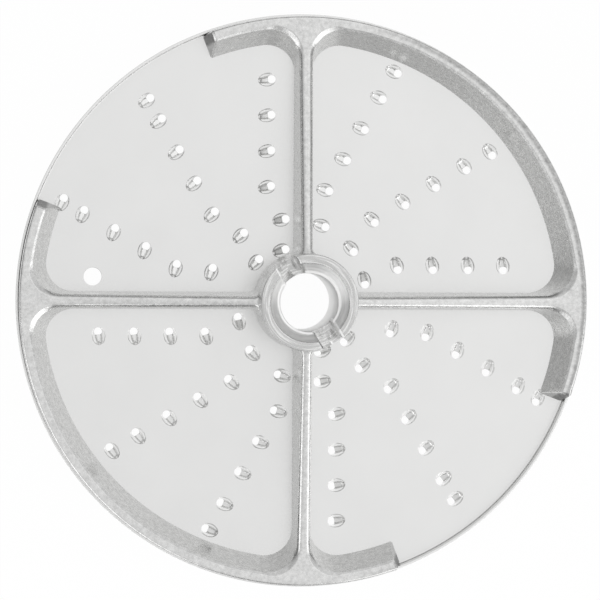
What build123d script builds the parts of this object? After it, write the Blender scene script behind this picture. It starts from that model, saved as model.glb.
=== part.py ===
"""Grating disc of a food processor: a toothed sheet-steel plate in a cast carrier.

The disc lies as it is set down with its hub upwards: the teeth point down (-Z), the
carrier and its drive slot point up (+Z), and the origin is on the hub's axis, at the
hub's lower end.
"""

import os
from math import atan2, cos, degrees, hypot, radians, sin, sqrt, tan

from build123d import *

# Sizes are in millimetres and angles in degrees.

# Grating plate, a shallow pan of sheet steel
disc_diameter = 175.0
sheet = 0.8
flange_rise = 3.6
bend_leg = 1.8
locating_hole_diameter = 5.4
locating_hole_distance = 64.5
locating_hole_angle = 173.6

# One tooth: a facetted dimple drawn down from the sheet, deepest beside its cutting hole
tooth_hole_diameter = 2.6
tooth_hole_sides = 8
tooth_length = 5.2
tooth_width = 3.7
tooth_depth = 1.9
tooth_wall = 0.55
tooth_floor_scale = 0.35
tooth_floor_setback = 0.9
tooth_tail_width = 1.9

# Tooth pattern: straight rows, each one step further out than the row before
row_count = 12
rows_per_cycle = 6
teeth_per_row = 4
tooth_pitch = 10.9
outer_row_offset = 9.6
outer_row_start = 29.7
inner_row_offset = 5.05
inner_row_start = 19.6
inner_pair_pitch = 9.3
inner_pair_rows = (3, 4)
rim_end_pitch = 9.2
rim_end_rows = (1, 2)
gap_end_pitch = 7.2
gap_end_rows = (4, 5)

# Carrier, one casting: rim, four spokes and hub
spoke_count = 4
rim_height = 12.0
rim_foot_width = 7.45
rim_crown_width = 3.25
rim_crown_chamfer = 0.9
spoke_width = 3.6
spoke_draft = 3.6
spoke_rise = 7.0
pocket_corner_radius = 8.5
hub_corner_radius = 2.0
rim_clearance = 0.15

# Gaps in the rim, across from each other
gap_count = 2
gap_angle = 135.0
gap_foot_angle = 48.2
gap_end_draft = 10.5

# Hub, with its shaft bore, lead-in cone and drive slot
hub_height = 28.5
hub_foot_diameter = 29.8
hub_top_diameter = 29.2
hub_reach = 3.2
spigot_diameter = 25.0
spigot_clearance = 0.1
bore_diameter = 17.5
ledge_width = 0.7
lead_in_depth = 2.4
lead_in_diameter = 23.5
hub_edge_chamfer = 0.4
slot_width = 6.3
slot_depth = 9.0
slot_angle = 120.0

# How far cutting shapes reach past what they cut
overrun = 1.0

# Levels and radii that follow
plate_bottom = hub_reach
plate_top = plate_bottom + sheet
flange_top = plate_top + flange_rise
rim_top = plate_top + rim_height
hub_top = plate_top + hub_height
disc_radius = disc_diameter / 2
flat_radius = disc_radius - sheet - bend_leg
rim_radius = disc_radius - sheet - rim_clearance
rim_foot_radius = rim_radius - rim_foot_width
rim_crown_radius = rim_radius - rim_crown_width
spoke_top = rim_top + spoke_rise
spoke_rise_start = rim_crown_radius - pocket_corner_radius - spoke_width / 2
foot_relief = bend_leg + rim_clearance
plate_hole_radius = spigot_diameter / 2 + spigot_clearance
tooth_step = tooth_pitch / rows_per_cycle


def hub_radius(z):
    """Radius of the hub's tapered wall at height z."""
    taper = (hub_foot_diameter - hub_top_diameter) / 2 / hub_height
    return hub_foot_diameter / 2 - taper * (z - plate_top)


def tooth_location(row, along, offset):
    """Put a tooth's hole on its row, with the ramp trailing round the disc."""
    turn = row * 360 / row_count + degrees(atan2(offset, along))
    distance = hypot(along, offset)
    x = distance * cos(radians(turn))
    y = distance * sin(radians(turn))
    return Location((x, y, plate_top), (0, 0, turn + 90))


def tooth_locations():
    """List every tooth: a straight outer run on each row, then its inner teeth.

    Teeth that would reach the flange's bend are left out.
    """
    places = []
    for row in range(row_count):
        stage = row % rows_per_cycle
        shift = stage * tooth_step
        outer = [outer_row_start + shift + tooth_pitch * i for i in range(teeth_per_row)]
        if stage in rim_end_rows:
            outer.append(outer[-1] + rim_end_pitch)
        if stage in gap_end_rows:
            outer.append(outer[-1] + gap_end_pitch)
        inner = [inner_row_start + shift]
        if stage in inner_pair_rows:
            inner.append(inner[0] - inner_pair_pitch)
        spots = [(along, outer_row_offset) for along in outer]
        spots += [(along, inner_row_offset) for along in inner]
        for along, offset in spots:
            if hypot(along, offset) + tooth_length / 2 < flat_radius:
                places.append(tooth_location(row, along, offset))
    return places


def tooth_outline(z, depth, margin):
    """Dimple's corners at height z from the sheet's upper face, drawing in towards its floor.

    It is widest just behind the hole, and narrows to a blunt tail.
    """
    front = (0, tooth_hole_diameter / 2 + margin)
    middle = (tooth_hole_diameter / 2, tooth_width / 2 + margin)
    tail = (tooth_length - tooth_hole_diameter / 2 + margin, tooth_tail_width / 2 + margin)
    scale = 1 + (1 - tooth_floor_scale) * z / depth
    setback = tooth_floor_setback * (1 - scale)
    side = [(setback + scale * x, scale * y, z) for x, y in (front, middle, tail)]
    return side + [(x, -y, z) for x, y, z in side]


def pocket_outline(z):
    """Quarter between two spokes: rim arc, spoke sides and hub arc, with rounded corners.

    The rim's and the spokes' sides lean back, so the outline is wider further up.
    """
    share_up = (z - plate_top) / rim_height
    outer_radius = rim_foot_radius + (rim_crown_radius - rim_foot_radius) * share_up
    half_width = spoke_width / 2 + (rim_top - z) * tan(radians(spoke_draft))
    with BuildSketch(Plane.XY.offset(z)) as outline:
        Circle(outer_radius)
        with Locations((half_width, half_width)):
            Rectangle(outer_radius, outer_radius, align=(Align.MIN, Align.MIN), mode=Mode.INTERSECT)
        Circle(hub_radius(z), mode=Mode.SUBTRACT)
        rim_corners = outline.vertices().sort_by_distance((0, 0))[2:]
        fillet(rim_corners, pocket_corner_radius)
        hub_corners = outline.vertices().sort_by_distance((0, 0))[:2]
        fillet(hub_corners, hub_corner_radius)
    return outline.sketch.face()


def gap_outline(z):
    """Wedge that clears the rim between two radial ends, wider further up."""
    draft_run = (z - plate_top) * tan(radians(gap_end_draft))
    half_span = gap_foot_angle / 2 + degrees(draft_run / rim_radius)
    near = rim_foot_radius - pocket_corner_radius
    far = rim_radius / cos(radians(half_span)) + overrun
    corners = [(near, -half_span), (far, -half_span), (far, half_span), (near, half_span)]
    with BuildSketch(Plane.XY.offset(z)) as outline:
        Polygon(
            *[(r * cos(radians(angle)), r * sin(radians(angle))) for r, angle in corners],
            align=None,
        )
    return outline.sketch.face()


# The dome of one tooth, as it stands out below the sheet
with BuildPart() as tooth_dome:
    dome_depth = tooth_depth + tooth_wall
    dome_root = tooth_outline(-sheet / 2, dome_depth, tooth_wall)
    dome_floor = tooth_outline(-dome_depth, dome_depth, tooth_wall)
    ConvexPolyhedron(dome_root + dome_floor)

# The hollow of one tooth, open to the sheet's upper face, with the hole at its front
with BuildPart() as tooth_hollow:
    hollow_mouth = tooth_outline(overrun, tooth_depth, 0)
    hollow_floor = tooth_outline(-tooth_depth, tooth_depth, 0)
    ConvexPolyhedron(hollow_mouth + hollow_floor)
    with BuildSketch(Plane.XY.offset(overrun)):
        RegularPolygon(tooth_hole_diameter / 2, tooth_hole_sides)
    extrude(amount=-(overrun + tooth_depth + tooth_wall + overrun))

# Grating plate
with BuildPart() as grating_plate:
    with BuildSketch(Plane.XZ) as pan_section:
        with BuildLine():
            Polyline(
                (plate_hole_radius, plate_bottom),
                (disc_radius, plate_bottom),
                (disc_radius, flange_top),
                (disc_radius - sheet, flange_top),
                (disc_radius - sheet, plate_top),
                (plate_hole_radius, plate_top),
                close=True,
            )
        make_face()
        outside_bend = pan_section.vertices().group_by(Axis.Y)[0].sort_by(Axis.X)[-1]
        chamfer(outside_bend, bend_leg + sheet * (2 - sqrt(2)))
        inside_bend = pan_section.vertices().filter_by_position(
            Axis.Y, plate_top, plate_top).sort_by(Axis.X)[-1]
        chamfer(inside_bend, bend_leg)
    revolve(axis=Axis.Z)
    with Locations(*tooth_locations()):
        add(tooth_dome.part)
        add(tooth_hollow.part, mode=Mode.SUBTRACT)
    with Locations(Plane.XY.offset(plate_top).rotated((0, 0, locating_hole_angle)).location):
        with Locations((locating_hole_distance, 0)):
            Hole(locating_hole_diameter / 2)

# One pocket of the casting, from its floor on the plate to the top of the spokes
with BuildPart() as pocket:
    loft([pocket_outline(plate_top), pocket_outline(spoke_top)], ruled=True)

# One gap in the rim
with BuildPart() as rim_gap:
    loft([gap_outline(plate_top - overrun), gap_outline(rim_top + overrun)])

# Carrier
with BuildPart() as carrier:
    with BuildSketch(Plane.XZ) as casting_section:
        with BuildLine():
            Polyline(
                (bore_diameter / 2, 0),
                (spigot_diameter / 2, 0),
                (spigot_diameter / 2, plate_top),
                (rim_radius - foot_relief, plate_top),
                (rim_radius, plate_top + foot_relief),
                (rim_radius, rim_top),
                (spoke_rise_start, rim_top),
                (hub_radius(spoke_top), spoke_top),
                (hub_top_diameter / 2, hub_top),
                (lead_in_diameter / 2, hub_top),
                (bore_diameter / 2 + ledge_width, hub_top - lead_in_depth),
                (bore_diameter / 2, hub_top - lead_in_depth),
                close=True,
            )
        make_face()
        crown = casting_section.vertices().filter_by_position(
            Axis.Y, rim_top, rim_top).sort_by(Axis.X)[-1]
        chamfer(crown, rim_crown_chamfer)
        hub_end_corners = [
            casting_section.vertices().group_by(Axis.Y)[level].sort_by(Axis.X)[-1] for level in (0, -1)
        ]
        chamfer(hub_end_corners, hub_edge_chamfer)
    revolve(axis=Axis.Z)
    with PolarLocations(0, spoke_count):
        add(pocket.part, mode=Mode.SUBTRACT)
    with PolarLocations(0, gap_count, start_angle=gap_angle):
        add(rim_gap.part, mode=Mode.SUBTRACT)
    with BuildSketch(Plane.XY.offset(hub_top).rotated((0, 0, slot_angle))):
        Rectangle(hub_foot_diameter + overrun, slot_width)
    extrude(amount=-slot_depth, mode=Mode.SUBTRACT)

grating_plate.part.label = "grating_plate"
carrier.part.label = "carrier"

os.makedirs("parts", exist_ok=True)
export_step(grating_plate.part, "parts/grating_plate.step")
export_step(carrier.part, "parts/carrier.step")
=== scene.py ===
"""Looks for a food processor's grating disc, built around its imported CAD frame.

The toothed plate and the cast carrier are made as smooth meshes that stand for the CAD nodes of
the same names. All lengths are in metres, in the frame of the CAD model.
"""

from math import asin, atan2, cos, hypot, pi, radians, sin, sqrt, tan

import bmesh
import bpy
from bpy.props import FloatProperty, FloatVectorProperty, IntProperty, PointerProperty
from mathutils import Matrix, Vector, noise


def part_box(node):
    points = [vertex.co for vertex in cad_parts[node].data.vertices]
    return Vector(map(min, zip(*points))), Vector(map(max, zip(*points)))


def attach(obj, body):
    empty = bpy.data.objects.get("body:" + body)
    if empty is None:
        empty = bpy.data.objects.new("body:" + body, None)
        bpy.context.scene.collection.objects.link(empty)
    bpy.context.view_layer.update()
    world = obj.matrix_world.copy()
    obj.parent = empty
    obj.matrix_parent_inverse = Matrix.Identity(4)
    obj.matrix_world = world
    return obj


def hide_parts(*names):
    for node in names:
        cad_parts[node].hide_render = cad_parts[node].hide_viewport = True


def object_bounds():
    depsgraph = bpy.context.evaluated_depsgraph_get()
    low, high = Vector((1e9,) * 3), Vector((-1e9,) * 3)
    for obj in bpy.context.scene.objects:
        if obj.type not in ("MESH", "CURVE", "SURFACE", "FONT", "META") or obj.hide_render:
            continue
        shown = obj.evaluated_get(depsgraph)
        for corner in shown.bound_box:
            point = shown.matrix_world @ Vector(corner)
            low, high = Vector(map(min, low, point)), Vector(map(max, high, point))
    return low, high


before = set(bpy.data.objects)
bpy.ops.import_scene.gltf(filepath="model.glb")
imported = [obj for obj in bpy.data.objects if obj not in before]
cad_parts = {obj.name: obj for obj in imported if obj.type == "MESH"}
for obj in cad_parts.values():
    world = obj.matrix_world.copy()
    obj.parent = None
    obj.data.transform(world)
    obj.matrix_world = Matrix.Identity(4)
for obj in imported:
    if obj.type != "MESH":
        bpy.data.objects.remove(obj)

bl_info = {
    "name": "Grating Disc",
    "version": (1, 0, 0),
    "blender": (4, 5, 0),
    "location": "View3D > Sidebar > Grating Disc",
    "description": "Builds the toothed plate, its cast carrier and a studio around them",
    "category": "Add Mesh",
}

MM = 0.001
# Faces that meet at more than this angle keep a sharp edge between them
SHARP_ANGLE = radians(35)
CAD_BOX = [list(corner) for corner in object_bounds()]
_, PLATE_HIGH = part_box("grating_plate")
_, CARRIER_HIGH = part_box("carrier")


def length(name, description, default):
    """A length property in metres."""
    return FloatProperty(name=name, description=description, default=default, precision=5,
                         subtype="DISTANCE", unit="LENGTH")


def angle(name, description, default):
    """An angle property, given in degrees."""
    return FloatProperty(name=name, description=description, default=radians(default),
                         subtype="ANGLE", unit="ROTATION")


def share(name, description, default):
    """A plain factor."""
    return FloatProperty(name=name, description=description, default=default, precision=3)


def colour(name, description, default):
    """A linear colour."""
    return FloatVectorProperty(name=name, description=description, default=default,
                               size=3, subtype="COLOR", min=0.0, max=1.0)


class PlateSizes(bpy.types.PropertyGroup):
    """Sizes of the toothed plate."""

    radius: length("Radius", "Outside radius of the flange", min(PLATE_HIGH[0], PLATE_HIGH[1]))
    top: length("Upper Face", "Height of the sheet's upper face", 4.0 * MM)
    sheet: length("Sheet", "Thickness of the sheet", 0.8 * MM)
    flange_top: length("Flange Top", "Height of the flange's upper edge", PLATE_HIGH[2])
    bend: length("Bend", "Inside radius of the flange's bend", 0.5 * MM)
    hub_hole: length("Hub Hole", "Radius of the hole that the hub passes through", 12.6 * MM)
    locating_hole: length("Locating Hole", "Radius of the plain hole", 2.7 * MM)
    locating_distance: length("Locating Distance", "Plain hole's distance from the axis", 64.5 * MM)
    locating_angle: angle("Locating Angle", "Plain hole's direction", 173.6)


class ToothSizes(bpy.types.PropertyGroup):
    """Sizes of one tooth, and of the rows they stand in."""

    hole: length("Hole", "Radius of the cutting hole", 1.22 * MM)
    tail: length("Tail", "Reach of the dimple behind the hole's middle", 4.2 * MM)
    width: length("Width", "Width of the dimple", 4.2 * MM)
    shelf: length("Shelf", "Depth of the dimple along its sides", 0.42 * MM)
    trough: length("Trough", "Further depth along the dimple's middle, at the hole", 1.2 * MM)
    depth: length("Depth", "Reach of the drawn lip below the upper face, less its wall", 1.7 * MM)
    wall: length("Wall", "Thickness of the drawn sheet at the hole", 0.55 * MM)
    pitch: length("Pitch", "Distance between teeth along a row", 10.9 * MM)
    outer_start: length("Outer Start", "First tooth of the outer run", 29.7 * MM)
    outer_offset: length("Outer Offset", "Sideways offset of the outer run", 9.6 * MM)
    inner_start: length("Inner Start", "First inner tooth", 19.6 * MM)
    inner_offset: length("Inner Offset", "Sideways offset of the inner teeth", 5.05 * MM)
    inner_pair: length("Inner Pair", "Distance between the two inner teeth of a row", 9.3 * MM)
    rim_end: length("Rim End", "Last step of the rows that end at the rim", 9.2 * MM)
    gap_end: length("Gap End", "Last step of the rows that end at a gap", 7.2 * MM)
    rows: IntProperty(name="Rows", description="Number of rows round the disc", default=12)
    cycle: IntProperty(name="Cycle", description="Rows until the steps repeat", default=6)


class CarrierSizes(bpy.types.PropertyGroup):
    """Sizes of the cast rim and spokes."""

    foot: length("Foot", "Height of the casting's lower face", 4.0 * MM)
    top: length("Top", "Height of the rim", 16.0 * MM)
    radius: length("Radius", "Outside radius of the rim", min(CARRIER_HIGH[0], CARRIER_HIGH[1]))
    relief: length("Foot Relief", "Slant at the rim's foot that clears the plate's bend", 2.0 * MM)
    inner_foot: length("Inner Foot", "Inside radius of the rim at its foot", 79.1 * MM)
    inner_top: length("Inner Top", "Inside radius of the rim at its top", 83.3 * MM)
    spoke: length("Spoke", "Width of a spoke at its top", 4.0 * MM)
    spoke_draft: angle("Spoke Draft", "Slope of the spokes' sides", 3.2)
    spoke_rise: length("Spoke Rise", "Height that a spoke gains on its way to the hub", 7.0 * MM)
    corner: length("Corner", "Corner radius between spoke and rim", 8.5 * MM)
    hub_corner: length("Hub Corner", "Corner radius between spoke and hub", 2.0 * MM)
    crown: length("Crown", "Rounding of the rim's outer edge", 0.9 * MM)
    rim_edge: length("Rim Edge", "Width of the rim's flat inner edge", 0.55 * MM)
    spoke_edge: length("Spoke Edge", "Rounding of the spokes' edges", 1.5 * MM)
    corner_edge: length("Corner Edge", "Width of the flat edge in the corners", 1.3 * MM)
    foot_edge: length("Foot Edge", "Rounding of the casting's lower edge", 0.15 * MM)
    gap_angle: angle("Gap Angle", "Direction of the first gap", 135.0)
    gap_span: angle("Gap Span", "Width of a gap at its foot", 48.2)
    gap_draft: angle("Gap Draft", "Slope of the rim's ends", 10.5)
    end_edge: length("End Edge", "Width of the flat edge on the rim's ends", 0.6 * MM)
    end_corner: length("End Corner", "Rounding of the rim ends' upright edges", 0.6 * MM)


class HubSizes(bpy.types.PropertyGroup):
    """Sizes of the hub."""

    top: length("Top", "Height of the hub's upper end", CARRIER_HIGH[2])
    foot_radius: length("Foot Radius", "Outside radius where the hub meets the plate", 14.9 * MM)
    top_radius: length("Top Radius", "Outside radius at the upper end", 14.6 * MM)
    spigot: length("Spigot", "Radius of the part that passes through the plate", 12.5 * MM)
    bore: length("Bore", "Radius of the straight bore", 8.75 * MM)
    ledge: length("Ledge", "Width of the ledge below the lead-in cone", 0.7 * MM)
    lead_in: length("Lead-in", "Radius of the lead-in cone's mouth", 11.75 * MM)
    lead_in_depth: length("Lead-in Depth", "Depth of the lead-in cone", 2.4 * MM)
    edge: length("Edge", "Rounding of the upper end's edges", 0.3 * MM)
    slot_edge: length("Slot Edge", "Rounding of the slot's edges", 0.8 * MM)
    slot: length("Slot", "Width of the drive slot", 6.3 * MM)
    slot_depth: length("Slot Depth", "Depth of the drive slot", 9.0 * MM)
    slot_angle: angle("Slot Angle", "Direction of the drive slot", 120.0)


class Finishes(bpy.types.PropertyGroup):
    """Colours of the metals."""

    steel: colour("Steel", "Satin sheet steel", (0.79, 0.79, 0.785))
    casting: colour("Casting", "Cast light metal", (0.70, 0.70, 0.695))
    turned: colour("Turned", "Turned bore and lead-in", (0.86, 0.86, 0.855))
    floor: colour("Floor", "Floor of the studio", (0.93, 0.93, 0.93))


class StudioSizes(bpy.types.PropertyGroup):
    """Camera and light."""

    distance: length("Distance", "Camera's distance from the plate", 0.975)
    tilt: angle("Tilt", "Camera's lean from straight above", 5.2)
    lean_angle: angle("Lean Direction", "Direction in which the camera leans", 166.0)
    roll: angle("Roll", "Camera's turn about its view", 0.21)
    pixel: length("Pixel", "Size of one pixel at the plate", 0.3069 * MM)
    aim_x: length("Aim X", "Point on the plate in the middle of the picture", -0.53 * MM)
    aim_y: length("Aim Y", "Point on the plate in the middle of the picture", 0.22 * MM)
    zenith: share("Zenith", "Brightness of the light from above", 0.95)
    horizon: share("Horizon", "Brightness of the light from the sides", 0.2)
    sway: share("Sway", "How much brighter the light is on one side", 0.42)
    sway_angle: angle("Sway Direction", "Side on which the light is brighter", 32.0)


# Mesh helpers


def ring(bm, points):
    """New vertices at these points."""
    return [bm.verts.new(point) for point in points]


def circle(radius, z, count, centre=(0.0, 0.0)):
    """Points round a level circle."""
    return [
        (centre[0] + radius * cos(2 * pi * i / count), centre[1] + radius * sin(2 * pi * i / count), z)
        for i in range(count)
    ]


def skin(bm, rows, closed=True, material=0):
    """Faces between rows of equally many vertices."""
    for low, high in zip(rows, rows[1:]):
        count = len(low) if closed else len(low) - 1
        for i in range(count):
            j = (i + 1) % len(low)
            bm.faces.new((low[i], low[j], high[j], high[i])).material_index = material


def fill(bm, *loops, normal=(0.0, 0.0, 0.0)):
    """Faces between an outer loop and the loops inside it."""
    edges = []
    for loop in loops:
        for a, b in zip(loop, loop[1:] + loop[:1]):
            edges.append(bm.edges.get((a, b)) or bm.edges.new((a, b)))
    return bmesh.ops.triangle_fill(
        bm, use_beauty=True, use_dissolve=False, edges=edges, normal=normal)


def mesh_object(bm, name, materials):
    """A new object from a bmesh, smooth apart from its sharp edges."""
    bmesh.ops.recalc_face_normals(bm, faces=bm.faces)
    mesh = bpy.data.meshes.new(name)
    bm.to_mesh(mesh)
    bm.free()
    for material in materials:
        mesh.materials.append(material)
    mesh.polygons.foreach_set("use_smooth", [True] * len(mesh.polygons))
    mesh.set_sharp_from_angle(angle=SHARP_ANGLE)
    piece = bpy.data.objects.new(name, mesh)
    bpy.context.collection.objects.link(piece)
    return piece


# Toothed plate

TEETH_PER_RUN = 4
# Stages of a cycle of rows that have one more tooth: at the rim, at a gap, and beside the hub
RIM_END_STAGES = (1, 2)
GAP_END_STAGES = (4, 5)
INNER_PAIR_STAGES = (3, 4)


def tooth_places(teeth):
    """Each tooth's place, and the direction in which its ramp trails round the disc."""
    step = teeth.pitch / teeth.cycle
    for row in range(teeth.rows):
        stage = row % teeth.cycle
        turn = 2 * pi * row / teeth.rows
        shift = stage * step
        outer = [teeth.outer_start + shift + teeth.pitch * i for i in range(TEETH_PER_RUN)]
        if stage in RIM_END_STAGES:
            outer.append(outer[-1] + teeth.rim_end)
        if stage in GAP_END_STAGES:
            outer.append(outer[-1] + teeth.gap_end)
        inner = [teeth.inner_start + shift]
        if stage in INNER_PAIR_STAGES:
            inner.append(inner[0] - teeth.inner_pair)
        spots = [(along, teeth.outer_offset) for along in outer]
        spots += [(along, teeth.inner_offset) for along in inner]
        for along, offset in spots:
            x = along * cos(turn) - offset * sin(turn)
            y = along * sin(turn) + offset * cos(turn)
            yield x, y, atan2(y, x) + pi / 2


def ease(t):
    """Smooth step from 0 to 1."""
    return t * t * (3 - 2 * t)


def drawn(t, roll=0.3):
    """Fall of a drawn sheet from 0 to 1: a rolled edge, then an even slope."""
    return (t * t / (2 * roll) if t < roll else t - roll / 2) / (1 - roll / 2)


def clamped(t):
    """A share kept between 0 and 1."""
    return min(max(t, 0.0), 1.0)


TOOTH_SIDES = 40
# How far the dimple's front end lies past the hole
FRONT_EDGE = 0.15 * MM
# Share by which the dimple is wider at its front, and narrower at its tail, than in its middle
OVAL_TAPER = 0.06
# The hole's blunt back, and the length in which the dimple ends beside the hole, in hole radii
HOLE_BACK = 0.8
SIDE_FADE = 1.8
# Rolled edge and trough of the dimple, as shares of its half width or of its length
EDGE_ROLL = 0.15
TAIL_ROLL = 0.3
TROUGH_HALF = 0.28
TROUGH_SIDE = 0.28
TROUGH_POWER = 0.6
# Shares of the way from the dimple's edge to the hole at which the upper face has points
UPPER_SHARES = (0, 0.05, 0.1, 0.15, 0.2, 0.26, 0.34, 0.44, 0.55, 0.66, 0.77, 0.88, 1.0)
LOWER_STEPS = 7
# How far the dimple is wider below the sheet, and the flat strips round it above and below
LOWER_MARGIN = 0.45 * MM
UPPER_STRIP = 0.12 * MM
LOWER_STRIP = 0.15 * MM


def tooth_rows(teeth, sheet):
    """One tooth's rows of points, from the upper face through the hole to the lower face.

    The hole's middle is the origin, the upper face is at 0, and the dimple trails along +X. It is a
    shallow oval with a trough along its middle. The lip round the hole is drawn further down.
    """
    turns = [2 * pi * i / TOOTH_SIDES for i in range(TOOTH_SIDES)]
    back = HOLE_BACK * teeth.hole
    front = teeth.hole + FRONT_EDGE
    half_length = (teeth.tail + front) / 2
    middle = teeth.tail - half_length

    def oval(margin, turn):
        """Point on the dimple's edge, or this far outside it."""
        return (
            middle + (half_length + margin) * cos(turn),
            (teeth.width / 2 + margin) * sin(turn) * (1 - OVAL_TAPER * cos(turn)),
        )

    def hole(turn):
        """Point on the hole's edge."""
        return min(teeth.hole * cos(turn), back), teeth.hole * sin(turn)

    def between(margin, share_in, turn):
        """Point on the way from the dimple's edge to the hole's."""
        x0, y0 = oval(margin, turn)
        x1, y1 = hole(turn)
        return x0 + (x1 - x0) * share_in, y0 + (y1 - y0) * share_in

    def fall(x, y):
        """Depth of the upper face at a point: a rolled edge, a shelf, and a trough along the middle."""
        lengthwise = min(max((x - middle) / half_length, -1.0), 1.0)
        half_width = teeth.width / 2 * sqrt(1 - lengthwise ** 2) * (1 - OVAL_TAPER * lengthwise)
        out = clamped(abs(y) / half_width) if half_width > 0 else 1.0
        along = clamped((teeth.tail - x) / (teeth.tail - back))
        behind = 1 - ease(clamped((back - x) / (SIDE_FADE * teeth.hole)))
        shelf = ease(clamped((1 - out) / EDGE_ROLL)) * ease(clamped(along / TAIL_ROLL)) * behind
        inside = 1 - ease(clamped((out - TROUGH_HALF) / TROUGH_SIDE))
        trough = inside * along ** TROUGH_POWER * behind
        return teeth.shelf * shelf + teeth.trough * trough

    rows = [[(*between(UPPER_STRIP, 0, t), 0) for t in turns]]
    for s in UPPER_SHARES:
        spots = [between(0, s, t) for t in turns]
        rows.append([(x, y, -fall(x, y)) for x, y in spots])
    lips = [sheet + (teeth.depth + teeth.wall - sheet) * (1 + cos(t)) / 2 for t in turns]
    for step in range(LOWER_STEPS + 1):
        s = 1 - step / LOWER_STEPS
        rows.append([
            (*between(LOWER_MARGIN, s, t), -sheet - (lip - sheet) * drawn(s))
            for t, lip in zip(turns, lips)
        ])
    rows.append([(*between(LOWER_MARGIN + LOWER_STRIP, 0, t), -sheet) for t in turns])
    return rows


BEND_STEPS = 8
LIP_STEPS = 4
# Rounding of the flange's upper edge, and the flat strip inside the bend
FLANGE_LIP = 0.15 * MM
BEND_STRIP = 0.4 * MM
FLANGE_SIDES = 288
HUB_HOLE_SIDES = 72
LOCATING_SIDES = 56
# Rounding of the locating hole's edges
HOLE_EDGE = 0.12 * MM


def flange_profile(plate):
    """Radius and height of points from the upper bend, round the lip, to the lower bend."""
    low = plate.top - plate.sheet
    start = plate.radius - plate.sheet - plate.bend
    centre = plate.top + plate.bend
    points = []
    for i in range(BEND_STEPS + 1):
        turn = radians(90 * i / BEND_STEPS)
        points.append((start + plate.bend * sin(turn), centre - plate.bend * cos(turn)))
    inner_lip = plate.radius - plate.sheet + FLANGE_LIP
    outer_lip = plate.radius - FLANGE_LIP
    lip_level = plate.flange_top - FLANGE_LIP
    for lip_radius, first in ((inner_lip, 180), (outer_lip, 90)):
        for i in range(LIP_STEPS + 1):
            turn = radians(first - 90 * i / LIP_STEPS)
            points.append((lip_radius + FLANGE_LIP * cos(turn), lip_level + FLANGE_LIP * sin(turn)))
    outer_bend = plate.bend + plate.sheet
    for i in range(BEND_STEPS + 1):
        turn = radians(90 - 90 * i / BEND_STEPS)
        points.append((start + outer_bend * sin(turn), centre - outer_bend * cos(turn)))
    return [(start - BEND_STRIP, plate.top)] + points + [(start - BEND_STRIP, low)]


class DISC_OT_plate(bpy.types.Operator):
    """Make the toothed plate: flange, teeth and holes"""

    bl_idname = "disc.plate"
    bl_label = "Toothed Plate"

    def execute(self, context):
        plate, teeth = context.scene.disc_plate, context.scene.disc_teeth
        low = plate.top - plate.sheet
        bm = bmesh.new()
        flange = [ring(bm, circle(r, z, FLANGE_SIDES)) for r, z in flange_profile(plate)]
        skin(bm, flange)
        hub_hole = [ring(bm, circle(plate.hub_hole, z, HUB_HOLE_SIDES)) for z in (plate.top, low)]
        skin(bm, hub_hole)
        centre = (
            plate.locating_distance * cos(plate.locating_angle),
            plate.locating_distance * sin(plate.locating_angle),
        )
        edge = HOLE_EDGE
        wall = [(edge * 1.6, plate.top), (edge, plate.top), (edge * 0.3, plate.top - edge * 0.3),
                (0, plate.top - edge), (0, low + edge), (edge, low)]
        hole = [ring(bm, circle(plate.locating_hole + d, z, LOCATING_SIDES, centre)) for d, z in wall]
        skin(bm, hole)
        tops = [flange[0], hub_hole[0], hole[0]]
        bottoms = [flange[-1], hub_hole[-1], hole[-1]]
        rows = tooth_rows(teeth, plate.sheet)
        for x, y, turn in tooth_places(teeth):
            place = Matrix.Translation((x, y, plate.top)) @ Matrix.Rotation(turn, 4, "Z")
            tooth = [ring(bm, [place @ Vector(point) for point in row]) for row in rows]
            skin(bm, tooth)
            tops.append(tooth[0])
            bottoms.append(tooth[-1])
        fill(bm, *tops)
        fill(bm, *bottoms)
        piece = mesh_object(bm, "toothed_plate", [satin_steel(context.scene.disc_finishes)])
        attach(piece, "root")
        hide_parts("grating_plate")
        return {"FINISHED"}


# Cast carrier

# Places of the special finishes in CARRIER_MATERIALS, after the casting itself
LEAD_IN, BORE, RIM_END, DRIVE_WALL = 1, 2, 3, 4

# Points along the runs of a pocket's wall
RIM_STEPS = 40
CORNER_STEPS = 20
SPOKE_STEPS = 24
HUB_CORNER_STEPS = 8
HUB_STEPS = 16
# How far the web reaches into the hub's wall, so that the two join
WEB_SINK = 0.05 * MM
# Points along the rim's outside, from gap to gap, and round an upright edge of its ends
OUTER_STEPS = 150
END_STEPS = 5
# Points of a run that give way to the rounded edge at its end
END_SKIP = 2
# Fall of a flat edge facet over its width
FACET_SLOPE = 0.7
# Shares of a wall's height at which it has points, and points over the edge above it
WALL_SHARES = (0.0, 0.02, 0.09, 0.18, 0.4, 0.6, 0.8)
EDGE_STEPS = 6
# Strip of the top beside an edge that keeps the edge's shading even
TOP_STRIP = 0.06 * MM
# Length over which a spoke's slope sets in, to either side of its start
SLOPE_BLEND = 5.0 * MM
WEB_HOLE_SIDES = 64
# How squarely a face of the rim has to face along the rim to be one of its ends
END_FACING = 0.8


def arc(centre, radius, start, end, count):
    """Points along an arc, both ends included."""
    return [
        (centre[0] + radius * cos(start + (end - start) * i / count),
         centre[1] + radius * sin(start + (end - start) * i / count))
        for i in range(count + 1)
    ]


def straight(a, b, count):
    """Points inside a straight run, both ends left out."""
    return [
        (a[0] + (b[0] - a[0]) * i / count, a[1] + (b[1] - a[1]) * i / count)
        for i in range(1, count)
    ]


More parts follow.
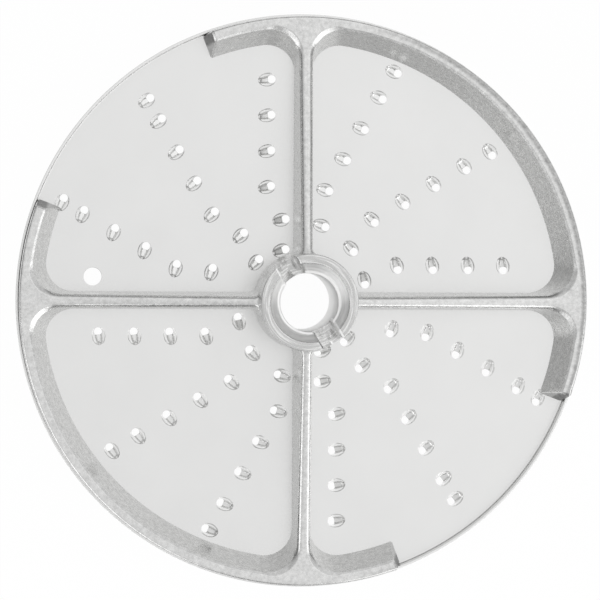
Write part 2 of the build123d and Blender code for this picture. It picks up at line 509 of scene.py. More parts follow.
def pocket_path(sizes, hub, z, half_gap):
    """Pocket wall in the first quarter at height z, from one end of its rim gap round to the other.

    With no gap it starts and ends at the middle of the rim. The casting lies on the left. Each point
    comes with the width of the edge above it, and how far that edge is a flat facet and not round.
    """
    rise = (z - sizes.foot) / (sizes.top - sizes.foot)
    rim = sizes.inner_foot + (sizes.inner_top - sizes.inner_foot) * rise
    half = sizes.spoke / 2 + (sizes.top - z) * tan(sizes.spoke_draft)
    hub_radius = hub_radius_at(sizes, hub, z) - WEB_SINK
    corner_y = half + sizes.corner
    corner_x = sqrt((rim - sizes.corner) ** 2 - corner_y ** 2)
    rim_turn = atan2(corner_y, corner_x)
    foot_y = half + sizes.hub_corner
    foot_x = sqrt((hub_radius + sizes.hub_corner) ** 2 - foot_y ** 2)
    hub_turn = atan2(foot_y, foot_x)
    quarter = pi / 2

    along_rim = arc((0, 0), rim, quarter / 2 - half_gap, rim_turn, RIM_STEPS)[:-1]
    round_corner = arc((corner_x, corner_y), sizes.corner, rim_turn, -quarter, CORNER_STEPS)
    along_spoke = straight((corner_x, half), (foot_x, half), SPOKE_STEPS)
    at_hub = arc((foot_x, foot_y), sizes.hub_corner, -quarter, hub_turn - pi, HUB_CORNER_STEPS)
    round_hub = arc((0, 0), hub_radius, hub_turn, quarter - hub_turn, HUB_STEPS)[1:-1]
    first_side = [(point, 0) for point in along_rim]
    first_side += [(point, i / CORNER_STEPS) for i, point in enumerate(round_corner)]
    first_side += [(point, 1) for point in along_spoke + at_hub]
    other_side = [((y, x), weight) for (x, y), weight in reversed(first_side)]
    path = first_side + [(point, 1) for point in round_hub] + other_side
    edges = []
    for _, weight in path:
        plain = sizes.rim_edge + (sizes.spoke_edge - sizes.rim_edge) * weight
        middle = 4 * weight * (1 - weight)
        edges.append((plain + (sizes.corner_edge - plain) * middle, 1.0 if weight < 0.5 else middle))
    return [point for point, _ in path], edges


def hub_radius_at(sizes, hub, z):
    """Radius of the hub's tapered wall at height z."""
    share_up = (z - sizes.foot) / (hub.top - sizes.foot)
    return hub.foot_radius + (hub.top_radius - hub.foot_radius) * share_up


def turned(points, turn):
    """Points turned about the axis."""
    return [(x * cos(turn) - y * sin(turn), x * sin(turn) + y * cos(turn)) for x, y in points]


def corner_arc(before, at, after, radius, count):
    """Points that round the corner at a point between two runs."""
    a = (Vector(before) - Vector(at)).normalized()
    b = (Vector(after) - Vector(at)).normalized()
    opening = a.angle(b)
    reach = radius / tan(opening / 2)
    middle = Vector(at) + (a + b).normalized() * radius / sin(opening / 2)
    start = Vector(at) + a * reach - middle
    end = Vector(at) + b * reach - middle
    sweep = atan2(start.x * end.y - start.y * end.x, start.dot(end))
    return [tuple(middle + Matrix.Rotation(sweep * i / count, 2) @ start) for i in range(count + 1)]


def outer_path(sizes, hub, z):
    """Casting's outer edge at height z: two rim arcs, and the open pockets between them.

    Gives the points, their edge rounding, and how much of the foot relief each one takes.
    """
    half_gap = sizes.gap_span / 2 + (z - sizes.foot) * tan(sizes.gap_draft) / sizes.radius
    pocket, pocket_edges = pocket_path(sizes, hub, z, half_gap)
    path, edges, relief = [], [], []
    for side in range(2):
        turn = sizes.gap_angle + side * pi
        inside = turned(pocket, turn - pi / 4)
        rim = arc((0, 0), sizes.radius, turn - pi + half_gap, turn - half_gap, OUTER_STEPS)
        next_rim = arc((0, 0), sizes.radius, turn + half_gap, turn + half_gap + pi / 2, OUTER_STEPS // 2)
        skip = END_SKIP
        corners = [
            corner_arc(before, at, after, sizes.end_corner, END_STEPS) for before, at, after in (
                (rim[-1 - skip], rim[-1], inside[0]),
                (rim[-1], inside[0], inside[skip]),
                (inside[-1 - skip], inside[-1], next_rim[0]),
                (inside[-1], next_rim[0], next_rim[skip]))
        ]
        end_edge = (sizes.end_edge, 1.0)
        runs = [
            (rim[skip:-skip], (sizes.crown, 0.0), 1.0),
            (corners[0], end_edge, None),
            (corners[1], end_edge, 0.0),
            (inside[skip:-skip], pocket_edges[skip:-skip], 0.0),
            (corners[2], end_edge, 0.0),
            (corners[3], end_edge, None),
        ]
        for number, (points, edge, weight) in enumerate(runs):
            path += points
            edges += edge if isinstance(edge, list) else [edge] * len(points)
            if weight is None:
                fade = [1 - i / (len(points) - 1) for i in range(len(points))]
                relief += fade if number == 1 else fade[::-1]
            else:
                relief += [weight] * len(points)
    return path, edges, relief


def inset(points, distances):
    """Points of a closed path moved to its left."""
    count = len(points)
    moved = []
    for i, (x, y) in enumerate(points):
        before, after = points[i - 1], points[(i + 1) % count]
        along = Vector((after[0] - before[0], after[1] - before[1])).normalized()
        moved.append((x - along.y * distances[i], y + along.x * distances[i]))
    return moved


def spoke_lift(sizes, hub, radius):
    """How far a spoke's top stands above the rim at this distance from the axis."""
    start = sizes.inner_top - sizes.corner - sizes.spoke / 2
    slope = sizes.spoke_rise / (start - hub.foot_radius)
    inward = start - radius
    if inward > SLOPE_BLEND:
        return min(slope * inward, sizes.spoke_rise)
    return slope * max(0.0, inward + SLOPE_BLEND) ** 2 / (4 * SLOPE_BLEND)


def wall_rows(bm, sizes, hub, path_at):
    """Rows of vertices up a wall and over its rounded edge, on to the top."""
    low, edges, relief = path_at(sizes.foot)
    high, _, _ = path_at(sizes.top)
    tops = [sizes.top + spoke_lift(sizes, hub, hypot(x, y)) for x, y in high]

    def points_at(levels):
        """Points of the wall, each at its own level."""
        shares = [(z - sizes.foot) / (sizes.top - sizes.foot) for z in levels]
        return [
            (a[0] + (b[0] - a[0]) * share_up, a[1] + (b[1] - a[1]) * share_up)
            for a, b, share_up in zip(low, high, shares)
        ]

    def row(levels, depth):
        """Vertices of the wall at these levels, moved into the casting."""
        spots = inset(points_at(levels), depth)
        return ring(bm, [(x, y, z) for (x, y), z in zip(spots, levels)])

    rows = []
    for share_up in WALL_SHARES:
        levels = [sizes.foot + (top - sizes.foot - sizes.corner_edge) * share_up for top in tops]
        depth = [max(0.0, sizes.relief - (z - sizes.foot)) * weight for z, weight in zip(levels, relief)]
        if share_up == 0.0:
            depth = [max(inward, sizes.foot_edge) for inward in depth]
        rows.append(row(levels, depth))
    for step in range(EDGE_STEPS + 2):
        along = min(step / EDGE_STEPS, 1.0)
        turn = radians(90 * along)
        extra = TOP_STRIP if step > EDGE_STEPS else 0.0
        levels = [top - width * ((1 - sin(turn)) * (1 - flat) + FACET_SLOPE * (1 - along) * flat)
                  for top, (width, flat) in zip(tops, edges)]
        depth = [width * ((1 - cos(turn)) * (1 - flat) + along * flat) + extra for width, flat in edges]
        rows.append(row(levels, depth))
    return rows


def web_mesh(sizes, hub):
    """Rim and spokes as one closed mesh, with a hole inside the hub's wall."""
    bm = bmesh.new()

    def closed_pocket(turn):
        """Path of a pocket that has no gap in its rim."""
        def path_at(z):
            points, edges = pocket_path(sizes, hub, z, 0.0)
            return turned(points[:-1], turn), edges[:-1], [0.0] * (len(points) - 1)
        return path_at

    paths = [lambda z: outer_path(sizes, hub, z), closed_pocket(0.0), closed_pocket(pi)]
    tops, bottoms = [], []
    for path_at in paths:
        rows = wall_rows(bm, sizes, hub, path_at)
        skin(bm, rows)
        tops.append(rows[-1])
        bottoms.append(rows[0])
    middle = (hub.bore + hub.foot_radius) / 2
    levels = (sizes.foot, sizes.top + sizes.spoke_rise)
    hole = [ring(bm, circle(middle, z, WEB_HOLE_SIDES)) for z in levels]
    skin(bm, hole)
    fill(bm, *tops, hole[1], normal=(0.0, 0.0, 1.0))
    fill(bm, *bottoms, hole[0])
    bm.normal_update()
    for face in bm.faces:
        x, y, _ = face.calc_center_median()
        sideways = abs(face.normal.x * y - face.normal.y * x) / hypot(x, y)
        if sideways > END_FACING and hypot(x, y) > sizes.inner_foot:
            face.material_index = RIM_END
    return bm


# Points along the runs of the hub's section above the slot's floor
HUB_WALL_STEPS = 8
HUB_EDGE_STEPS = 5
MOUTH_STEPS = 3
CONE_STEPS = 8
UPPER_BORE_STEPS = 3
# Rounding of the lead-in's mouth, and the turn that it makes in degrees
MOUTH_EDGE = 0.3 * MM
MOUTH_TURN = 70
# Softened edges of the ledge, how far it dips between them, and where the bore starts below it
LEDGE_EDGE = 0.12 * MM
LEDGE_DIP = 0.03 * MM
BORE_EDGE = 0.15 * MM


def upper_section(sizes, hub, floor):
    """Hub's section above the slot's floor: outer wall, rounded end, lead-in cone, ledge and bore."""
    shoulder = hub.top - hub.edge
    levels = [floor + (shoulder - floor) * i / HUB_WALL_STEPS for i in range(HUB_WALL_STEPS + 1)]
    points = [(hub_radius_at(sizes, hub, z), z) for z in levels]
    outer = hub.top_radius - hub.edge
    for i in range(1, HUB_EDGE_STEPS + 1):
        turn = radians(90 * i / HUB_EDGE_STEPS)
        points.append((outer + hub.edge * cos(turn), shoulder + hub.edge * sin(turn)))
    mouth = hub.lead_in + MOUTH_EDGE
    points.append(((outer + mouth) / 2, hub.top))
    for i in range(MOUTH_STEPS + 1):
        turn = radians(90 + MOUTH_TURN * i / MOUTH_STEPS)
        points.append((mouth + MOUTH_EDGE * cos(turn), hub.top - MOUTH_EDGE + MOUTH_EDGE * sin(turn)))
    outer_count = len(points)
    ledge = hub.top - hub.lead_in_depth
    lip = hub.bore + hub.ledge
    cone_radius, cone_top = points[-1]
    for i in range(1, CONE_STEPS + 1):
        t = i / CONE_STEPS
        points.append((cone_radius + (lip - cone_radius) * t, cone_top + (ledge - cone_top) * t))
    points += [(lip - LEDGE_EDGE, ledge - LEDGE_DIP), (hub.bore + LEDGE_EDGE, ledge - LEDGE_DIP)]
    bore_top = ledge - BORE_EDGE
    points.append((hub.bore, bore_top))
    bore_start = len(points)
    for i in range(1, UPPER_BORE_STEPS + 1):
        points.append((hub.bore, bore_top + (floor - bore_top) * i / UPPER_BORE_STEPS))
    return points, outer_count, bore_start


# Points round each half of the hub, round a slot edge, across the slot and along its floor
HALF_COLUMNS = 64
SLOT_EDGE_STEPS = 4
SLOT_COLUMNS = 10
FLOOR_ROWS = 7
# Height above the slot's floor over which its rounded edges set in
SLOT_EDGE_FADE = 1.2 * MM
# Height of the floor's unevenness, and its steps along and across the slot and between its ends
FLOOR_LUMPS = 0.55 * MM
FLOOR_NOISE = (0.9, 0.2, 5.0)
# Points down the outer wall and the bore below the slot, and the edges at the hub's lower end
LOWER_WALL_STEPS = 8
LOWER_BORE_STEPS = 6
SPIGOT_BEVEL = 0.6 * MM
BORE_BEVEL = 0.3 * MM


def hub_mesh(sizes, hub):
    """Hub as one closed mesh, with its bore and the drive slot across its upper end."""
    bm = bmesh.new()
    floor = hub.top - hub.slot_depth
    section, outer_count, bore_start = upper_section(sizes, hub, floor)

    def slot_turn(radius, margin):
        """Angle from the slot's middle to its wall, or this far beyond it."""
        return asin((hub.slot / 2 + margin) / radius)

    # Columns of each half, with rounded upright edges at the slot
    turns = [radians(90 * i / SLOT_EDGE_STEPS) for i in range(SLOT_EDGE_STEPS, -1, -1)]
    ends = [(hub.slot_edge * (1 - sin(turn)), hub.slot_edge * (1 - cos(turn))) for turn in turns]
    halves = []
    for side in range(2):
        base = hub.slot_angle + side * pi
        columns = []
        spots = [(margin, depth, 0.0) for margin, depth in ends]
        spots += [(hub.slot_edge, 0.0, i / HALF_COLUMNS) for i in range(1, HALF_COLUMNS)]
        spots += [(margin, depth, 1.0) for margin, depth in reversed(ends)]
        for margin, depth, share_round in spots:
            column = []
            for number, (radius, z) in enumerate(section):
                before = section[max(number - 1, 0)]
                after = section[min(number + 1, len(section) - 1)]
                along = Vector((after[0] - before[0], after[1] - before[1])).normalized()
                fade = ease(clamped((z - floor) / SLOT_EDGE_FADE))
                r = radius - along.y * depth * fade
                height = z + along.x * depth * fade
                start = slot_turn(r, margin)
                turn = base + start + (pi - 2 * start) * share_round
                column.append(bm.verts.new((r * cos(turn), r * sin(turn), height)))
            columns.append(column)
        halves.append(columns)
        for number, (left, right) in enumerate(zip(columns, columns[1:])):
            for i in range(len(section) - 1):
                face = bm.faces.new((left[i], right[i], right[i + 1], left[i + 1]))
                if number < SLOT_EDGE_STEPS:
                    face.material_index = DRIVE_WALL
                elif i >= bore_start - 1:
                    face.material_index = BORE
                elif i >= outer_count - 1:
                    face.material_index = LEAD_IN

    # Slot floor between the halves, and the slot's walls
    columns_out, columns_in = [], []
    for side in range(2):
        here, there = halves[side], halves[1 - side]
        columns_out += [column[0] for column in here]
        columns_in += [column[-1] for column in here]
        strips = [[here[-1][0], here[-1][-1]], [there[0][0], there[0][-1]]]
        grid = []
        for i in range(SLOT_COLUMNS + 1):
            t = i / SLOT_COLUMNS
            outer = strips[0][0].co.lerp(strips[1][0].co, t)
            inner = strips[0][1].co.lerp(strips[1][1].co, t)
            outer.xy = outer.xy.normalized() * hub_radius_at(sizes, hub, floor)
            inner.xy = inner.xy.normalized() * hub.bore
            line = []
            for j in range(FLOOR_ROWS + 1):
                at_wall = i in (0, SLOT_COLUMNS)
                if at_wall and j in (0, FLOOR_ROWS):
                    line.append(strips[i // SLOT_COLUMNS][j // FLOOR_ROWS])
                    continue
                point = outer.lerp(inner, j / FLOOR_ROWS)
                if not at_wall:
                    spot = Vector((i, j, side)) * Vector(FLOOR_NOISE)
                    point.z += FLOOR_LUMPS * noise.noise(spot)
                line.append(bm.verts.new(point))
            grid.append(line)
        skin(bm, grid, closed=False)
        columns_out += [line[0] for line in grid[1:-1]]
        columns_in += [line[-1] for line in grid[1:-1]]
        fill(bm, here[-1] + grid[0][1:-1][::-1])
        pressed = fill(bm, there[0] + grid[-1][1:-1][::-1])
        for face in pressed["geom"]:
            if isinstance(face, bmesh.types.BMFace):
                face.material_index = DRIVE_WALL

    # Body below the slot
    def lowered(verts, radius, z):
        """New vertices below these, on a level circle."""
        return ring(bm, [(*(vert.co.xy.normalized() * radius), z) for vert in verts])

    outside = [columns_out]
    for i in range(1, LOWER_WALL_STEPS + 1):
        z = floor + (sizes.foot - floor) * i / LOWER_WALL_STEPS
        outside.append(lowered(columns_out, hub_radius_at(sizes, hub, z), z))
    outside.append(lowered(columns_out, hub.spigot, sizes.foot))
    outside.append(lowered(columns_out, hub.spigot, SPIGOT_BEVEL))
    outside.append(lowered(columns_out, hub.spigot - SPIGOT_BEVEL, 0.0))
    skin(bm, outside)
    foot = [outside[-1], lowered(columns_in, hub.bore + BORE_BEVEL, 0.0)]
    foot.append(lowered(columns_in, hub.bore, BORE_BEVEL))
    skin(bm, foot)
    bore = [foot[-1]]
    for i in range(1, LOWER_BORE_STEPS):
        bore.append(lowered(columns_in, hub.bore, floor * i / LOWER_BORE_STEPS))
    skin(bm, bore + [columns_in], material=BORE)
    return bm


class DISC_OT_carrier(bpy.types.Operator):
    """Make the cast carrier: rim, spokes and hub in one piece"""

    bl_idname = "disc.carrier"
    bl_label = "Cast Carrier"

    def execute(self, context):
        scene = context.scene
        materials = [make(scene.disc_finishes) for make in CARRIER_MATERIALS]
        piece = mesh_object(web_mesh(scene.disc_carrier, scene.disc_hub), "cast_carrier", materials)
        hub = mesh_object(hub_mesh(scene.disc_carrier, scene.disc_hub), "hub", materials)
        join = piece.modifiers.new("hub", "BOOLEAN")
        join.operation = "UNION"
        join.solver = "EXACT"
        join.object = hub
        shape = piece.evaluated_get(context.evaluated_depsgraph_get())
        joined = bpy.data.meshes.new_from_object(shape)
        piece.modifiers.clear()
        piece.data = joined
        joined.set_sharp_from_angle(angle=SHARP_ANGLE)
        bpy.data.objects.remove(hub)
        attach(piece, "root")
        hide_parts("carrier")
        return {"FINISHED"}


# Materials

# Distances from the axis between which the way round is drawn out in proportion
ROUND_SPAN = (0.014, 0.084)
# Turn that lays the seam of the way round into the drive slot and the first rim gap
SEAM_TURN = radians(60)
# Numbers of a mix node's sockets for colours
COLOUR_A, COLOUR_B, COLOUR_RESULT = 6, 7, 2


class Shader:
    """A material's node tree, with short ways to add and join nodes."""

    def __init__(self, name, metallic=0.0):
        self.material = bpy.data.materials.new(name)
        self.material.use_nodes = True
        self.nodes = self.material.node_tree.nodes
        self.links = self.material.node_tree.links
        self.surface = self.nodes["Principled BSDF"]
        self.surface.inputs["Metallic"].default_value = metallic
        self.place = self.nodes.new("ShaderNodeTexCoord").outputs["Object"]

    def join(self, source, target):
        """Link an output to an input."""
        self.links.new(source, target)

    def add(self, kind, inputs, **settings):
        """Outputs of a new node, whose inputs are linked to outputs or hold plain values."""
        node = self.nodes.new(kind)
        for name, value in settings.items():
            setattr(node, name, value)
        for name, value in inputs.items():
            if isinstance(value, bpy.types.NodeSocket):
                self.join(value, node.inputs[name])
            else:
                node.inputs[name].default_value = value
        return node.outputs

    def finish(self, base, roughness, normal=None):
        """Join the colour, roughness and normal to the surface, and give the material."""
        self.join(base, self.surface.inputs["Base Color"])
        self.join(roughness, self.surface.inputs["Roughness"])
        if normal:
            self.join(normal, self.surface.inputs["Normal"])
        return self.material

    def math(self, operation, a, b):
        """Result of a calculation with two values."""
        return self.add("ShaderNodeMath", {0: a, 1: b}, operation=operation)[0]

    def radius(self):
        """Distance from the disc's axis."""
        level = {0: self.place, 1: (1.0, 1.0, 0.0)}
        flat = self.add("ShaderNodeVectorMath", level, operation="MULTIPLY")["Vector"]
        return self.add("ShaderNodeVectorMath", {0: flat}, operation="LENGTH")["Value"]

    def axis(self, name):
        """Distance from the origin along X, Y or Z."""
        return self.add("ShaderNodeSeparateXYZ", {"Vector": self.place})[name]

    def round_axis(self, length_share):
        """Places measured outwards, round the axis and up, with the way round drawn out."""
        seam = {"Vector": self.place, "Angle": SEAM_TURN}
        turned_place = self.add("ShaderNodeVectorRotate", seam, rotation_type="Z_AXIS")["Vector"]
        parts = self.add("ShaderNodeSeparateXYZ", {"Vector": turned_place})
        radius = self.radius()
        near, far = ROUND_SPAN
        reach = self.spread(radius, near * length_share, far * length_share, near, far)
        way_round = self.math("MULTIPLY", self.math("ARCTAN2", parts["Y"], parts["X"]), reach)
        way = {"X": radius, "Y": way_round, "Z": parts["Z"]}
        return self.add("ShaderNodeCombineXYZ", way)["Vector"]

    def noise(self, scale, detail=4.0, roughness=0.55, place=None):
        """Noise; scale is in cycles per metre."""
        inputs = {"Vector": place or self.place, "Scale": scale, "Detail": detail, "Roughness": roughness}
        return self.add("ShaderNodeTexNoise", inputs)["Fac"]

    def spread(self, value, low, high, start=0.3, end=0.7):
        """Value taken from the range start to end, to the range low to high."""
        inputs = {"Value": value, "From Min": start, "From Max": end, "To Min": low, "To Max": high}
        return self.add("ShaderNodeMapRange", inputs)["Result"]

    def mix(self, share_of_b, a, b):
        """Value between a and b."""
        return self.add("ShaderNodeMix", {"Factor": share_of_b, "A": a, "B": b})["Result"]

    def blend(self, share_of_b, a, b):
        """Colour between a and b."""
        inputs = {"Factor": share_of_b, COLOUR_A: a, COLOUR_B: b}
        return self.add("ShaderNodeMix", inputs, data_type="RGBA")[COLOUR_RESULT]

    def tints(self, share_of_light, base, dark, light):
        """Colour between a darker and a lighter tint of a base colour."""
        return self.blend(share_of_light, tinted(base, dark), tinted(base, light))

    def bump(self, height, distance, strength, normal=None):
        """Normal of a surface with this relief, on top of any given normal."""
        inputs = {"Height": height, "Distance": distance, "Strength": strength}
        if normal:
            inputs["Normal"] = normal
        return self.add("ShaderNodeBump", inputs)["Normal"]


def tinted(base, factor):
    """Colour made lighter or darker, with full alpha."""
    return (*(min(channel * factor, 1.0) for channel in base), 1.0)


def satin_steel(finishes):
    """Even satin sheet, with a fine grain and faint marks from handling."""
    shader = Shader("satin_steel", metallic=1.0)
    cloud = shader.spread(shader.noise(55, 3.0), 0.0, 1.0)
    grain = shader.noise(2600, 3.0, 0.6)
    return shader.finish(
        shader.tints(cloud, finishes.steel, 0.985, 1.01),
        shader.spread(grain, 0.23, 0.27),
        shader.bump(grain, 0.01 * MM, 0.03))


# Distances from the axis over which the hub's finish ends, and the painted shade along the rim's outer
# edge starts and ends
HUB_FINISH_END = (0.0148, 0.0158)
RIM_SHADE_START = (0.0845, 0.0852)
RIM_SHADE_END = (0.0858, 0.0862)
# Distance along X over which the rim's painted shade sets in
RIM_SHADE_SIDE = (0.016, 0.045)


def rough_casting(finishes):
    """Die-cast metal: mottled and grainy, with painted shade along the rim's outer edge on the +X side,
    and tool rings on the hub.
    """
    shader = Shader("rough_casting", metallic=1.0)
    radius = shader.radius()
    mottle = shader.noise(850, 8.0, 0.7)
    tool_rings = shader.noise(1900, 5.0, 0.65, place=shader.round_axis(0.05))
    on_hub = shader.spread(radius, 1.0, 0.0, *HUB_FINISH_END)
    worn = shader.mix(on_hub, mottle, shader.spread(tool_rings, 0.0, 0.72, 0.38, 0.62))
    light = shader.spread(worn, 0.0, 1.0, 0.32, 0.68)
    # Painted shade: the rim's outer edge is darkened on the +X side
    rim_shade_band = shader.math("MULTIPLY", shader.spread(radius, 0.0, 1.0, *RIM_SHADE_START),
                       shader.spread(radius, 1.0, 0.0, *RIM_SHADE_END))
    rim_shade = shader.math("MULTIPLY", rim_shade_band, shader.spread(shader.axis("X"), 0.0, 1.0, *RIM_SHADE_SIDE))
    unshaded = shader.tints(light, finishes.casting, 0.8, 1.14)
    shaded_tint = shader.tints(light, finishes.casting, 0.42, 0.8)
    lumps = shader.bump(shader.noise(330, 3.0), 0.4 * MM, 0.16)
    return shader.finish(
        shader.blend(rim_shade, unshaded, shaded_tint),
        shader.spread(shader.noise(900, 4.0), 0.2, 0.34),
        shader.bump(worn, 0.08 * MM, 0.32, lumps))


def turned_metal(finishes):
    """Turned lead-in: bright, with fine tool rings."""
    shader = Shader("turned_metal", metallic=1.0)
    rings = shader.noise(1700, 4.0, 0.6, place=shader.round_axis(0.05))
    return shader.finish(
        shader.tints(shader.spread(rings, 0.0, 1.0), finishes.turned, 0.9, 1.16),
        shader.spread(rings, 0.4, 0.54),
        shader.bump(rings, 0.08 * MM, 0.6))


# Heights between which painted shade darkens the bore
BORE_SHADE = (0.014, 0.031)


def bored_metal(finishes):
    """Bore: matt, with faint marks, and painted shade that darkens it towards its upper end."""
    shader = Shader("bored_metal", metallic=1.0)
    marks = shader.noise(700, 4.0)
    unshaded = shader.tints(shader.spread(marks, 0.0, 1.0), finishes.turned, 0.92, 1.0)
    # Painted shade: the bore's wall darkens towards its upper end
    shade_rise = shader.spread(shader.axis("Z"), 0.0, 1.0, *BORE_SHADE)
    return shader.finish(
        shader.blend(shade_rise, unshaded, tinted(finishes.turned, 0.55)),
        shader.spread(marks, 0.42, 0.56))


# Distances from the axis over which painted shade darkens the rim's ends
END_SHADE = (0.0826, 0.0836)


def trimmed_metal(finishes):
    """Ends of the rim: coarse, with painted shade that makes them nearly black beside the flange."""
    shader = Shader("trimmed_metal", metallic=1.0)
    coarse = shader.spread(shader.noise(900, 5.0, 0.7), 0.0, 1.0)
    inner = shader.tints(coarse, finishes.casting, 0.6, 0.95)
    # Painted shade: the outer part of each rim end is nearly black
    outer = shader.tints(coarse, finishes.casting, 0.12, 0.5)
    return shader.finish(
        shader.blend(shader.spread(shader.radius(), 0.0, 1.0, *END_SHADE), inner, outer),
        shader.spread(coarse, 0.3, 0.5, 0.0, 1.0),
        shader.bump(coarse, 0.2 * MM, 0.4))


def slot_wall_highlight(finishes):
    """Slot walls that the drive pin presses on: streaked, and pale to paint a highlight where they catch
    the light.
    """
    shader = Shader("slot_wall_highlight", metallic=0.2)
    streaks = shader.spread(shader.noise(900, 4.0), 0.0, 1.0)
    return shader.finish(
        # Painted highlight: a pale tint stands in for the light on the slot walls
        shader.tints(streaks, finishes.turned, 0.98, 1.16),
        shader.spread(streaks, 0.35, 0.55, 0.0, 1.0),
        shader.bump(streaks, 0.1 * MM, 0.3))


CARRIER_MATERIALS = (rough_casting, turned_metal, bored_metal, trimmed_metal, slot_wall_highlight)


# Studio

WHITE = (1.0, 1.0, 1.0, 1.0)
# Heights of the sky between which the light changes from the horizon's to the zenith's
SKY_SPAN = (0.1, 0.9)
# How much of the floor glows white where the camera or a reflection sees it
FLOOR_GLOW = 0.97
FLOOR_HALF = 3.0
FLOOR_DROP = 0.2 * MM
# Picture's width in pixels, and the camera's sensor width in millimetres
PICTURE_WIDTH = 600
SENSOR_WIDTH = 36.0
CLIP_SPAN = (0.01, 20.0)


def studio_world(studio):
    """Soft light: brightest overhead, dimmer towards the horizon."""
    world = bpy.data.worlds.new("studio")
    world.use_nodes = True
    nodes, links = world.node_tree.nodes, world.node_tree.links
    place = nodes.new("ShaderNodeTexCoord")
    parts = nodes.new("ShaderNodeSeparateXYZ")
    height = nodes.new("ShaderNodeMapRange")
    height.interpolation_type = "SMOOTHSTEP"
    height.inputs["From Min"].default_value = SKY_SPAN[0]
    height.inputs["From Max"].default_value = SKY_SPAN[1]
    height.inputs["To Min"].default_value = studio.horizon
    height.inputs["To Max"].default_value = studio.zenith
    links.new(place.outputs["Generated"], parts.inputs["Vector"])
    links.new(parts.outputs["Z"], height.inputs["Value"])
    side = nodes.new("ShaderNodeVectorMath")
    side.operation = "DOT_PRODUCT"
    towards = Vector((cos(studio.sway_angle), sin(studio.sway_angle), 0.0))
    side.inputs[1].default_value = studio.sway * towards
    total = nodes.new("ShaderNodeMath")
    total.operation = "MULTIPLY_ADD"
    links.new(place.outputs["Generated"], side.inputs[0])
    links.new(height.outputs["Result"], total.inputs[0])
    links.new(side.outputs["Value"], total.inputs[1])
    links.new(height.outputs["Result"], total.inputs[2])
    links.new(total.outputs[0], nodes["Background"].inputs["Strength"])
    nodes["Background"].inputs["Color"].default_value = WHITE
    return world


def floor_paper(finishes):
    """White paper that stays white to the camera and in reflections, and keeps a shadow."""
    shader = Shader("floor_paper")
    surface = shader.surface
    paper = shader.tints(shader.noise(6, 2.0), finishes.floor, 0.995, 1.0)
    shader.join(paper, surface.inputs["Base Color"])
    surface.inputs["Roughness"].default_value = 0.9
    surface.inputs["Specular IOR Level"].default_value = 0.0
    glow = shader.add("ShaderNodeEmission", {"Color": WHITE, "Strength": 1.0})[0]
    ray = shader.add("ShaderNodeLightPath", {})
    seen = shader.math("MAXIMUM", ray["Is Camera Ray"], ray["Is Glossy Ray"])
    seen = shader.math("MAXIMUM", seen, ray["Is Transmission Ray"])
    glowing = shader.math("MULTIPLY", seen, FLOOR_GLOW)
    both = shader.add("ShaderNodeMixShader", {"Fac": glowing, 1: surface.outputs[0], 2: glow})[0]
    shader.join(both, shader.nodes["Material Output"].inputs["Surface"])
    return shader.material


# Name, direction and height in degrees, distance, width, height and power of each softbox
SOFTBOXES = [
    ("softbox_left", 220.0, 28.0, 0.5, 0.56, 0.24, 0.62),
    ("softbox_right", -42.0, 28.0, 0.5, 0.64, 0.24, 0.7),
]


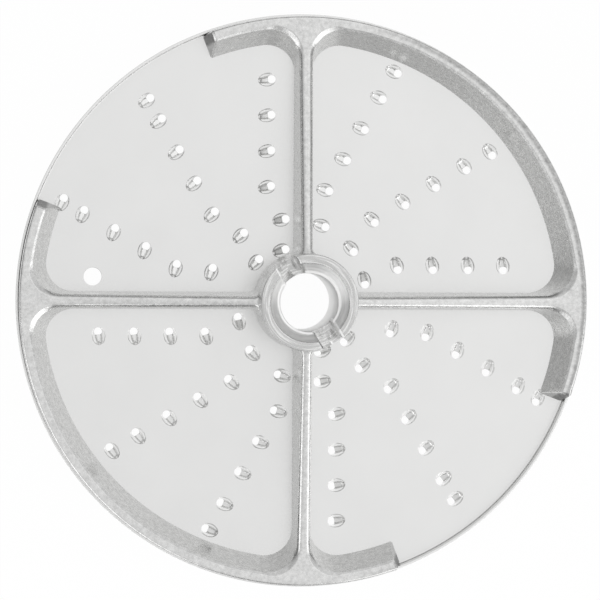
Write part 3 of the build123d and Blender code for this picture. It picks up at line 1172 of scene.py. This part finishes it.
class DISC_OT_studio(bpy.types.Operator):
    """Make the floor, the light and the camera"""

    bl_idname = "disc.studio"
    bl_label = "Studio"

    def execute(self, context):
        scene = context.scene
        studio, plate = scene.disc_studio, scene.disc_plate
        scene.view_settings.view_transform = "Standard"
        scene.world = studio_world(studio)

        bm = bmesh.new()
        bmesh.ops.create_grid(bm, x_segments=4, y_segments=4, size=FLOOR_HALF)
        bmesh.ops.translate(bm, verts=bm.verts, vec=(0.0, 0.0, CAD_BOX[0][2] - FLOOR_DROP))
        floor = mesh_object(bm, "floor", [floor_paper(scene.disc_finishes)])

        for name, turn, height, reach, width, tall, energy in SOFTBOXES:
            softbox = bpy.data.lights.new(name, "AREA")
            softbox.shape = "RECTANGLE"
            softbox.size, softbox.size_y = width, tall
            softbox.energy = energy
            lamp = bpy.data.objects.new(name, softbox)
            turn, height = radians(turn), radians(height)
            aside = Vector((cos(turn), sin(turn), 0.0)) * cos(height)
            lamp.location = reach * (aside + Vector((0.0, 0.0, sin(height))))
            lamp.rotation_euler = (-lamp.location).to_track_quat("-Z", "Y").to_euler()
            context.collection.objects.link(lamp)

        aim = Vector((studio.aim_x, studio.aim_y, plate.top))
        lean = Vector((cos(studio.lean_angle), sin(studio.lean_angle), 0.0))
        back = lean * sin(studio.tilt) + Vector((0.0, 0.0, cos(studio.tilt)))
        right = Vector((cos(studio.roll), sin(studio.roll), 0.0))
        right = (right - back * right.dot(back)).normalized()
        up = back.cross(right)
        camera = bpy.data.cameras.new("camera")
        camera.sensor_width = SENSOR_WIDTH
        camera.lens = SENSOR_WIDTH * studio.distance / (PICTURE_WIDTH * studio.pixel)
        camera.clip_start, camera.clip_end = CLIP_SPAN
        eye = bpy.data.objects.new("camera", camera)
        turn = Matrix((right, up, back)).transposed().to_4x4()
        eye.matrix_world = Matrix.Translation(aim + back * studio.distance) @ turn
        context.collection.objects.link(eye)
        scene.camera = eye
        return {"FINISHED"}


class DISC_PT_panel(bpy.types.Panel):
    """Lists the disc's pieces and their sizes"""

    bl_idname = "DISC_PT_panel"
    bl_label = "Grating Disc"
    bl_space_type = "VIEW_3D"
    bl_region_type = "UI"
    bl_category = "Grating Disc"

    def draw(self, context):
        layout = self.layout
        for operator, groups in PIECES.items():
            layout.operator(operator)
            column = layout.column(align=True)
            for sizes in (getattr(context.scene, group) for group in groups):
                for name in sizes.bl_rna.properties.keys():
                    if name not in ("rna_type", "name"):
                        column.prop(sizes, name)


GROUPS = {
    "disc_plate": PlateSizes,
    "disc_teeth": ToothSizes,
    "disc_carrier": CarrierSizes,
    "disc_hub": HubSizes,
    "disc_finishes": Finishes,
    "disc_studio": StudioSizes,
}
# Each operator, with the groups that the panel lists below it
PIECES = {
    "disc.plate": ("disc_plate", "disc_teeth"),
    "disc.carrier": ("disc_carrier", "disc_hub"),
    "disc.studio": ("disc_studio", "disc_finishes"),
}
CLASSES = [*GROUPS.values(), DISC_OT_plate, DISC_OT_carrier, DISC_OT_studio, DISC_PT_panel]


def register():
    """Register the classes, and add the groups to the scene."""
    for cls in CLASSES:
        bpy.utils.register_class(cls)
    for name, group in GROUPS.items():
        setattr(bpy.types.Scene, name, PointerProperty(type=group))


def unregister():
    """Take the groups and the classes away again."""
    for name in GROUPS:
        delattr(bpy.types.Scene, name)
    for cls in reversed(CLASSES):
        bpy.utils.unregister_class(cls)


def main():
    """Register the size groups on the scene, and build the disc and its studio."""
    register()
    bpy.ops.disc.plate()
    bpy.ops.disc.carrier()
    bpy.ops.disc.studio()


if __name__ == "__main__":
    main()
